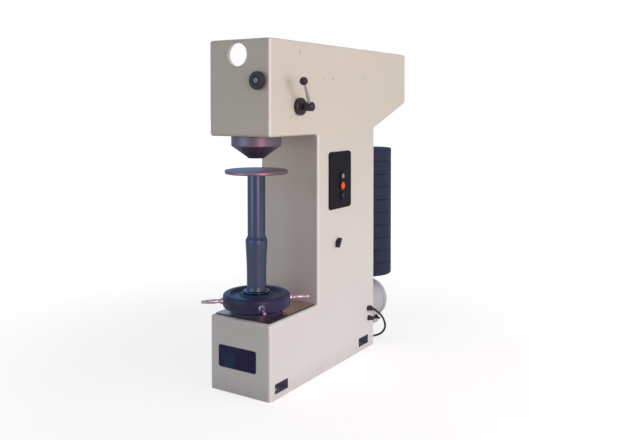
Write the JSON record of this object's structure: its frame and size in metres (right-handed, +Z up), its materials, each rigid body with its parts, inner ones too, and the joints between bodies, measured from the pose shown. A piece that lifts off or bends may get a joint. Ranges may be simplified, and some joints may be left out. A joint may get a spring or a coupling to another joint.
{
  "type": "hardness tester",
  "caption": "Floor-standing dead-weight hardness tester: hollow cast frame, screw-raised round table under a ball nozzle, long load lever, slotted weights and drive motor behind.",
  "frame": {"origin": "centre of the base's footprint, on its underside", "axes": "+X to the side with the switches, +Y to the back where the weights hang, +Z up"},
  "size_m": [0.3126, 0.9911, 1.127],
  "materials": {
    "casting_paint": "satin",
    "dark_paint": "satin",
    "weight_paint": "satin",
    "motor_paint": "satin",
    "machined_steel": "ground",
    "blued_steel": "oiled",
    "chrome_plate": "polished",
    "black_moulding": "gloss",
    "panel_black": "matt",
    "plate_blue": "satin",
    "screen_glass": "frosted",
    "button_pale": "gloss",
    "button_lit": "lit",
    "button_blue": "gloss",
    "brass": "turned",
    "lead_rubber": "matt",
    "bearing_iron": "as cast"
  },
  "bodies": {
    "frame": {"main_casting": "casting_paint", "head_top_cover": "casting_paint", "cover_screws": "machined_steel", "rear_cover": "casting_paint", "case_screws": "machined_steel", "base_top_plate": "dark_paint", "rating_plate": "plate_blue", "screen_bezel": "black_moulding", "projection_screen": "screen_glass", "projection_tube": "bearing_iron", "lamp_house": "bearing_iron", "knob_collar": "black_moulding", "lever_collar": "black_moulding", "clamping_nozzle": "machined_steel", "spindle_guide": "brass", "fulcrum_block": "bearing_iron", "gearbox": "bearing_iron", "push_rod_guide": "bearing_iron", "bearing_housing": "dark_paint", "thrust_bearing": "machined_steel", "switch_panel": "panel_black", "button_bodies": "panel_black", "isolator_switch": "black_moulding", "motor_flange": "motor_paint", "flange_bolts": "machined_steel", "motor_body": "motor_paint", "motor_end_cover": "motor_paint", "terminal_box": "motor_paint", "cable_glands": "lead_rubber", "mains_lead": "lead_rubber", "motor_lead": "lead_rubber", "lead_coil": "lead_rubber", "mains_plug": "lead_rubber"},
    "handwheel": {"handwheel": "dark_paint", "handwheel_handles": "chrome_plate", "elevating_nut": "brass", "guard_sleeve": "blued_steel"},
    "table": {"test_table": "machined_steel", "table_sleeve": "blued_steel", "elevating_screw": "machined_steel"},
    "operating_lever": {"lever_shaft": "black_moulding", "lever_rod": "chrome_plate", "lever_ball": "black_moulding"},
    "measuring_drum": {"measuring_knob": "black_moulding", "micrometer_spindle": "brass"},
    "start_button": {"start_button": "button_pale"},
    "lamp_button": {"lamp_button": "button_lit"},
    "stop_button": {"stop_button": "button_blue"},
    "isolator": {"isolator_knob": "black_moulding"},
    "load_lever": {"main_lever": "blued_steel", "knife_edges": "machined_steel"},
    "indenter": {"indenter_spindle": "machined_steel", "ball_holder": "machined_steel", "indenter_ball": "machined_steel"},
    "load_hanger": {"hanger_stirrup": "machined_steel", "hanger_rod": "machined_steel", "hanger_plate": "dark_paint", "weights": "weight_paint"},
    "push_rod": {"push_rod": "machined_steel"},
    "cam": {"cam": "machined_steel"}
  },
  "joints": [
    {"name": "hanger_drop", "type": "slide", "parent": "frame", "child": "load_hanger", "axis": [0, 0, 1], "range_m": [-0.02, 0]},
    {"name": "load_lever_tilt", "type": "hinge", "parent": "frame", "child": "load_lever", "pos_m": [0, -0.28895, 0.98707], "axis": [1, 0, 0], "range_deg": [-1.47, 0]},
    {"name": "indenter_press", "type": "slide", "parent": "frame", "child": "indenter", "axis": [0, 0, 1], "range_m": [-0.001, 0]},
    {"name": "push_rod_drop", "type": "slide", "parent": "frame", "child": "push_rod", "axis": [0, 0, 1], "range_m": [-0.01415, 0]},
    {"name": "cam_turn", "type": "hinge", "parent": "frame", "child": "cam", "pos_m": [0, 0.262, 0.215], "axis": [1, 0, 0], "range_deg": [0, 150.01]},
    {"name": "handwheel_turn", "type": "hinge", "parent": "frame", "child": "handwheel", "pos_m": [0, -0.25, 0.287], "axis": [0, 0, 1], "range_deg": [-1800, 9900]},
    {"name": "table_rise", "type": "slide", "parent": "frame", "child": "table", "axis": [0, 0, 1], "range_m": [-0.16501, 0.03001]},
    {"name": "operating_lever_swing", "type": "hinge", "parent": "frame", "child": "operating_lever", "pos_m": [0.164, -0.18, 0.915], "axis": [1, 0, 0], "range_deg": [-60, 0]},
    {"name": "measuring_knob_turn", "type": "hinge", "parent": "frame", "child": "measuring_drum", "pos_m": [0.08, -0.34, 0.995], "axis": [0, -1, 0], "range_deg": [-1800, 1800]},
    {"name": "start_button_press", "type": "slide", "parent": "frame", "child": "start_button", "axis": [-1, 0, 0], "range_m": [0, 0.004], "stiffness_N_per_m": 600, "springref_m": -0.001},
    {"name": "lamp_button_press", "type": "slide", "parent": "frame", "child": "lamp_button", "axis": [-1, 0, 0], "range_m": [0, 0.004], "stiffness_N_per_m": 600, "springref_m": -0.001},
    {"name": "stop_button_press", "type": "slide", "parent": "frame", "child": "stop_button", "axis": [-1, 0, 0], "range_m": [0, 0.004], "stiffness_N_per_m": 600, "springref_m": -0.001},
    {"name": "isolator_turn", "type": "hinge", "parent": "frame", "child": "isolator", "pos_m": [0.12, 0.057, 0.437], "axis": [1, 0, 0], "range_deg": [0, 60]}
  ],
  "couplings": [
    {"joint": "load_lever_tilt", "follows": "hanger_drop", "rad_per_m": 1.2838},
    {"joint": "indenter_press", "follows": "hanger_drop", "ratio": 0.05},
    {"joint": "push_rod_drop", "follows": "hanger_drop", "ratio": 0.7073},
    {"joint": "cam_turn", "follows": "hanger_drop", "rad_per_m": -130.9},
    {"joint": "table_rise", "follows": "handwheel_turn", "m_per_rad": -0.00095493}
  ]
}
